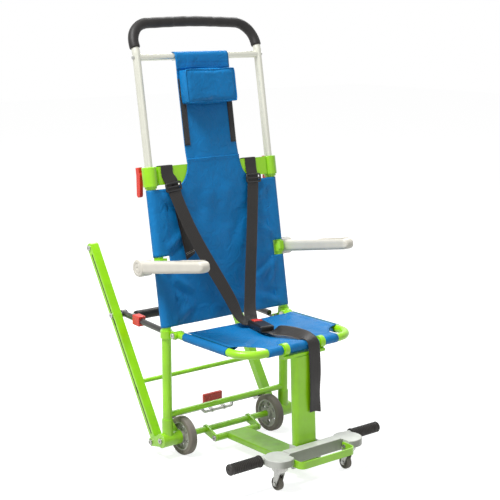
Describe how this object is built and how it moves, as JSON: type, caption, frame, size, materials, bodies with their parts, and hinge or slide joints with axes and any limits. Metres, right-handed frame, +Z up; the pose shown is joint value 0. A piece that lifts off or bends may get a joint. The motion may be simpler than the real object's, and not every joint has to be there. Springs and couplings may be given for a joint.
{
  "type": "stair chair",
  "caption": "Folding evacuation chair: leaning sling back with telescoping push handle, folding sling seat, wheels, castors and belt tracks for gliding down stairs.",
  "frame": {"origin": "middle of the chair's footprint, on the floor", "axes": "+Z up, the sitter faces -Y, +X is the sitter's left"},
  "size_m": [0.618, 0.9264, 1.3788],
  "materials": {
    "green_paint": "satin powder coat",
    "green_casting": "satin powder coat over casting",
    "silver_tube": "satin anodised",
    "zinc_steel": "zinc plated",
    "blue_cloth": "coated woven nylon",
    "black_foam": "closed cell foam",
    "black_rubber": "moulded rubber",
    "ivory_plastic": "moulded satin",
    "grey_cast": "light grey enamel",
    "wheel_grey": "moulded",
    "tyre_grey": "moulded rubber",
    "red_plastic": "moulded",
    "black_plastic": "moulded",
    "webbing": "woven polyester webbing",
    "black_paint": "black powder coat"
  },
  "bodies": {
    "frame": {"back_tubes": "green_paint", "lower_cross_tube": "green_paint", "axle_tube": "green_paint", "hub_castings": "green_casting", "hub_bolts": "zinc_steel", "handle_sockets": "green_casting", "cross_plate": "green_paint", "seat_hinge_lugs": "green_casting", "seat_hinge_bolts": "zinc_steel", "armrest_bosses": "green_casting", "back_sling": "blue_cloth", "foot_arm_pins": "zinc_steel", "shoulder_straps": "webbing", "strap_adjusters": "black_plastic"},
    "push_handle": {"handle_tube": "silver_tube", "handle_grip": "black_foam", "handle_crossbar": "silver_tube", "crossbar_screws": "zinc_steel", "head_panel": "blue_cloth", "head_pillow": "blue_cloth"},
    "latch_left": {"latch_lever_left": "red_plastic"},
    "latch_right": {"latch_lever_right": "red_plastic"},
    "seat": {"seat_frame": "green_paint", "seat_sling": "blue_cloth", "buckle_body": "black_plastic", "buckle_tongue": "zinc_steel", "lap_strap": "webbing"},
    "buckle_button": {"buckle_button": "red_plastic"},
    "leg": {"leg_tube": "green_paint", "leg_yoke": "green_paint", "foot_bar": "grey_cast", "step_loop": "green_paint", "step_bolts": "zinc_steel", "foot_grip_tubes": "green_paint", "foot_grips": "black_rubber", "foot_pivot_pin": "zinc_steel"},
    "foot_arm": {"foot_arm": "green_paint"},
    "tracks": {"track_rails": "green_paint", "track_belts": "black_rubber", "track_cross_tube": "green_paint", "track_pins": "zinc_steel"},
    "upper_pulleys": {"upper_pulleys": "black_plastic"},
    "lower_pulleys": {"lower_pulleys": "black_plastic"},
    "rear_handle": {"rear_handle": "black_paint", "rear_grip": "black_foam"},
    "release_collars": {"release_collars": "red_plastic"},
    "brake": {"brake_bar": "zinc_steel", "brake_pedal": "red_plastic"},
    "armrest_left": {"armrest_left": "ivory_plastic"},
    "castor_fork_left": {"castor_fork_left": "zinc_steel", "castor_axle_left": "zinc_steel"},
    "castor_wheel_left": {"castor_wheel_left": "black_rubber"},
    "wheel_left": {"tyre_left": "tyre_grey", "wheel_hub_left": "wheel_grey"},
    "armrest_right": {"armrest_right": "ivory_plastic"},
    "castor_fork_right": {"castor_fork_right": "zinc_steel", "castor_axle_right": "zinc_steel"},
    "castor_wheel_right": {"castor_wheel_right": "black_rubber"},
    "wheel_right": {"tyre_right": "tyre_grey", "wheel_hub_right": "wheel_grey"}
  },
  "joints": [
    {"name": "seat_fold", "type": "hinge", "parent": "frame", "child": "seat", "pos_m": [0, -0.00316, 0.408], "axis": [-1, 0, 0], "range_deg": [0, 78], "deforming": ["shoulder_straps", "lap_strap"]},
    {"name": "leg_fold", "type": "hinge", "parent": "seat", "child": "leg", "pos_m": [0, -0.33516, 0.408], "axis": [1, 0, 0], "range_deg": [0, 78]},
    {"name": "foot_arm_fold", "type": "hinge", "parent": "frame", "child": "foot_arm", "pos_m": [0, -0.01916, 0.046], "axis": [-1, 0, 0], "range_deg": [0, 78]},
    {"name": "handle_slide", "type": "slide", "parent": "frame", "child": "push_handle", "axis": [0, 0.165, 0.9863], "range_m": [-0.16, 0], "deforming": ["head_panel"]},
    {"name": "latch_left", "type": "hinge", "parent": "frame", "child": "latch_left", "pos_m": [0.24, 0.14393, 0.89478], "axis": [1, 0, 0], "range_deg": [0, 10], "stiffness_Nm_per_rad": 0.6, "springref_deg": -5.73},
    {"name": "armrest_left", "type": "hinge", "parent": "frame", "child": "armrest_left", "pos_m": [0.265, 0.08424, 0.61682], "axis": [-1, 0, 0], "range_deg": [0, 90]},
    {"name": "castor_swivel_left", "type": "hinge", "parent": "leg", "child": "castor_fork_left", "pos_m": [0.138, -0.39716, 0.084], "axis": [0, 0, 1], "continuous": true},
    {"name": "castor_spin_left", "type": "hinge", "parent": "castor_fork_left", "child": "castor_wheel_left", "pos_m": [0.138, -0.38716, 0.021], "axis": [1, 0, 0], "continuous": true},
    {"name": "wheel_spin_left", "type": "hinge", "parent": "frame", "child": "wheel_left", "pos_m": [0.18, 0.03084, 0.0625], "axis": [1, 0, 0], "continuous": true},
    {"name": "latch_right", "type": "hinge", "parent": "frame", "child": "latch_right", "pos_m": [-0.24, 0.14393, 0.89478], "axis": [1, 0, 0], "range_deg": [0, 10], "stiffness_Nm_per_rad": 0.6, "springref_deg": -5.73},
    {"name": "armrest_right", "type": "hinge", "parent": "frame", "child": "armrest_right", "pos_m": [-0.265, 0.08424, 0.61682], "axis": [-1, 0, 0], "range_deg": [0, 90]},
    {"name": "castor_swivel_right", "type": "hinge", "parent": "leg", "child": "castor_fork_right", "pos_m": [-0.138, -0.39716, 0.084], "axis": [0, 0, 1], "continuous": true},
    {"name": "castor_spin_right", "type": "hinge", "parent": "castor_fork_right", "child": "castor_wheel_right", "pos_m": [-0.138, -0.38716, 0.021], "axis": [1, 0, 0], "continuous": true},
    {"name": "wheel_spin_right", "type": "hinge", "parent": "frame", "child": "wheel_right", "pos_m": [-0.18, 0.03084, 0.0625], "axis": [1, 0, 0], "continuous": true},
    {"name": "buckle_press", "type": "slide", "parent": "seat", "child": "buckle_button", "axis": [0, 0, -1], "range_m": [0, 0.0025], "stiffness_N_per_m": 600, "springref_m": -0.001},
    {"name": "track_fold", "type": "hinge", "parent": "frame", "child": "tracks", "pos_m": [0, 0.09084, 0.042], "axis": [1, 0, 0], "range_deg": [0, 28]},
    {"name": "upper_pulley_spin", "type": "hinge", "parent": "tracks", "child": "upper_pulleys", "pos_m": [0, 0.45066, 0.61782], "axis": [1, 0, 0], "continuous": true},
    {"name": "lower_pulley_spin", "type": "hinge", "parent": "tracks", "child": "lower_pulleys", "pos_m": [0, 0.09084, 0.042], "axis": [1, 0, 0], "continuous": true},
    {"name": "rear_handle_fold", "type": "hinge", "parent": "tracks", "child": "rear_handle", "pos_m": [0, 0.32189, 0.41175], "axis": [1, 0, 0], "range_deg": [0, 50.06]},
    {"name": "collar_release", "type": "slide", "parent": "rear_handle", "child": "release_collars", "axis": [0, 0.9984, 0.0559], "range_m": [0, 0.009], "stiffness_N_per_m": 300, "springref_m": -0.004},
    {"name": "brake_press", "type": "hinge", "parent": "frame", "child": "brake", "pos_m": [0, 0.08884, 0.112], "axis": [-1, 0, 0], "range_deg": [0, 8]}
  ],
  "couplings": [
    {"joint": "leg_fold", "follows": "seat_fold", "ratio": 1},
    {"joint": "foot_arm_fold", "follows": "seat_fold", "ratio": 1},
    {"joint": "rear_handle_fold", "follows": "track_fold", "ratio": 1.77},
    {"joint": "lower_pulley_spin", "follows": "upper_pulley_spin", "ratio": 1}
  ]
}
